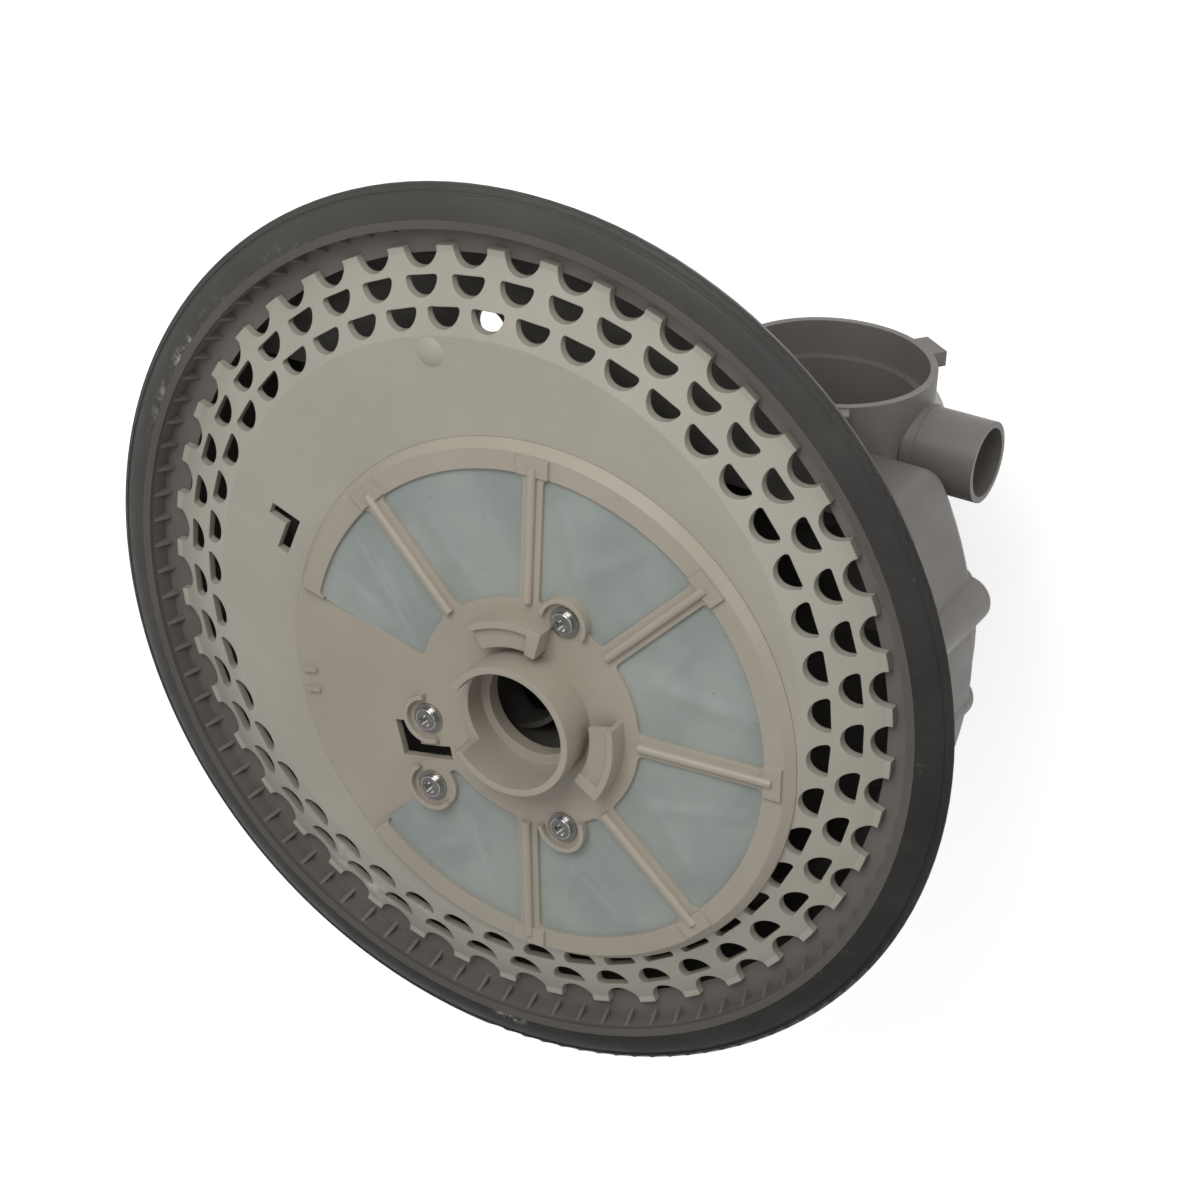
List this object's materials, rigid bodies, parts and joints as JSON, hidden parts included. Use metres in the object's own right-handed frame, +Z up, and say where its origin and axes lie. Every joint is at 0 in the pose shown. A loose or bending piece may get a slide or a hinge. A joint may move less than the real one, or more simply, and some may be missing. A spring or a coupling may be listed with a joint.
{
  "type": "dishwasher pump motor",
  "caption": "Round dishwasher sump with toothed coarse filter, mesh fine filter, outlet tube, drain socket and hose nozzle, over a wash pump with a vertical motor.",
  "frame": {"origin": "centre of the tub opening, on the plane where the rim seal sits", "axes": "+Z up out of the tub floor along the filter's axis, +Y out of the drain socket, +X out of the nozzle"},
  "size_m": [0.3, 0.3, 0.2159],
  "materials": {
    "sump_plastic": "satin moulded",
    "seal_rubber": "smooth",
    "plate_plastic": "satin moulded",
    "frame_plastic": "satin moulded",
    "filter_mesh": "fine woven mesh",
    "screw_steel": "bright",
    "pump_plastic": "satin moulded",
    "impeller_plastic": "satin moulded",
    "seal_seat": "ground",
    "gasket_rubber": "matt",
    "motor_cast": "as cast",
    "lamination": "varnished",
    "winding": "enamelled",
    "bearing_steel": "ground",
    "terminal_plastic": "moulded",
    "contact_brass": "bright"
  },
  "bodies": {
    "pump_body": {"sump_housing": "sump_plastic", "rim_seal": "seal_rubber", "coarse_filter_plate": "plate_plastic", "fine_filter_frame": "frame_plastic", "fine_filter_mesh": "filter_mesh", "filter_screws": "screw_steel", "pump_housing": "pump_plastic", "diffuser": "pump_plastic", "chopper_plate": "screw_steel", "shaft_seal_seat": "seal_seat", "motor_gasket": "gasket_rubber", "motor_upper_bracket": "motor_cast", "motor_lower_bracket": "motor_cast", "stator_core": "lamination", "stator_windings": "winding", "upper_bearing": "bearing_steel", "lower_bearing": "bearing_steel", "motor_bolts": "screw_steel", "motor_mount_screws": "screw_steel", "terminal_block": "terminal_plastic", "blade_terminals": "contact_brass"},
    "rotor": {"motor_shaft": "bearing_steel", "rotor_core": "lamination", "upper_spacer": "screw_steel", "lower_spacer": "screw_steel", "wash_impeller": "impeller_plastic", "impeller_nut": "screw_steel", "impeller_spacer": "screw_steel", "chopper_blade": "screw_steel", "shaft_seal_ring": "gasket_rubber"}
  },
  "joints": [
    {"name": "shaft_spin", "type": "hinge", "parent": "pump_body", "child": "rotor", "pos_m": [0.0142, -0.0141, 0], "axis": [0, 0, 1], "continuous": true}
  ]
}
